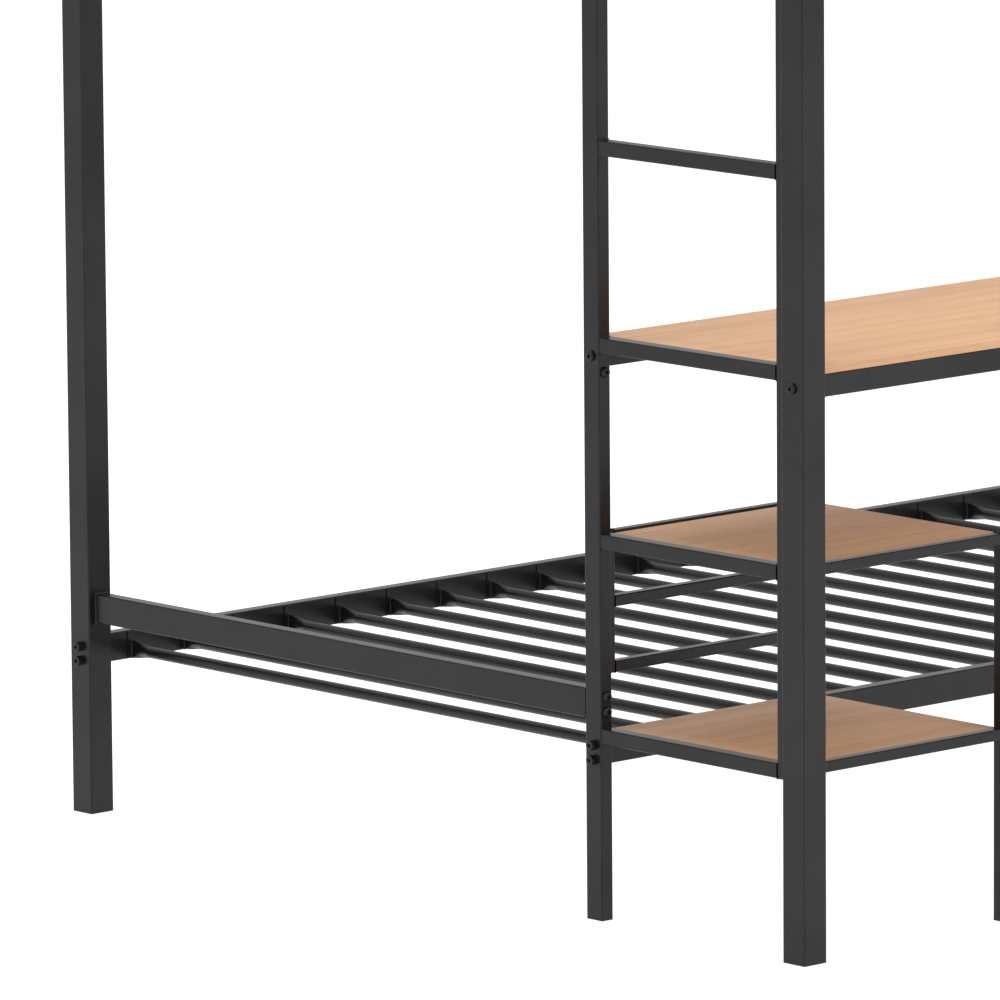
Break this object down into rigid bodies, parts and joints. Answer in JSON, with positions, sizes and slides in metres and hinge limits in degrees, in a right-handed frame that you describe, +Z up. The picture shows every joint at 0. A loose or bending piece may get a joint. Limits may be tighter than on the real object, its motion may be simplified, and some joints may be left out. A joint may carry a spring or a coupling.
{
  "type": "bunk bed with ladder",
  "caption": "Full-over-twin steel bunk bed with an end ladder, guard rails, a long wood-look desk on one side and two corner shelves under the ladder.",
  "frame": {"origin": "on the floor under the middle of the bed", "axes": "+X along the bed away from the ladder end, -Y towards the desk side, +Z up"},
  "size_m": [2.006, 1.46, 1.8],
  "materials": {
    "frame": "satin black powder coat",
    "desk_board": "matt wood-look laminate",
    "shelf_board": "matt wood-look laminate",
    "bolt": "black oxide",
    "screw": "zinc plated",
    "threaded_plug": "plain steel",
    "plastic_cap": "matt"
  },
  "bodies": {
    "root": {"board_screws": "screw", "button_bolts": "bolt", "centre_beam_hangers": "frame", "desk_and_guard_plugs": "threaded_plug", "desk_back_rail": "frame", "desk_board": "desk_board", "desk_cross_bars": "frame", "desk_end_bar": "frame", "desk_far_bar": "frame", "desk_front_rail": "frame", "end_rail_plates": "frame", "end_rail_plugs": "threaded_plug", "far_end_floor_bar": "frame", "far_end_upright": "frame", "foot_plugs": "plastic_cap", "guard_infill_far_end": "frame", "guard_infill_front": "frame", "guard_infill_ladder_end": "frame", "guard_infill_rear": "frame", "guard_top_rail_far_end": "frame", "guard_top_rail_front": "frame", "guard_top_rail_ladder_end": "frame", "guard_top_rail_rear": "frame", "ladder_entry_rail": "frame", "ladder_rung_1": "frame", "ladder_rung_2": "frame", "ladder_stile": "frame", "ladder_upright": "frame", "lower_end_rail_far_end": "frame", "lower_end_rail_ladder_end": "frame", "lower_shelf_board": "shelf_board", "lower_shelf_end_bar": "frame", "lower_shelf_front_rail": "frame", "lower_side_rail_front": "frame", "lower_side_rail_rear": "frame", "lower_slats": "frame", "post_front_far_end": "frame", "post_front_ladder_end": "frame", "post_rear_far_end": "frame", "post_rear_ladder_end": "frame", "shelf_ledges": "frame", "shelf_leg": "frame", "shelf_panel_bars": "frame", "shelf_panel_far_upright": "frame", "shelf_panel_near_upright": "frame", "shelf_side_strips": "frame", "side_rail_bolts": "bolt", "side_rail_plugs": "threaded_plug", "slat_tabs": "frame", "top_caps": "plastic_cap", "upper_centre_beam": "frame", "upper_end_rail_far_end": "frame", "upper_end_rail_ladder_end": "frame", "upper_shelf_board": "shelf_board", "upper_shelf_end_bar": "frame", "upper_shelf_front_rail": "frame", "upper_side_rail_front": "frame", "upper_side_rail_rear": "frame", "upper_slats": "frame"}
  },
  "joints": []
}
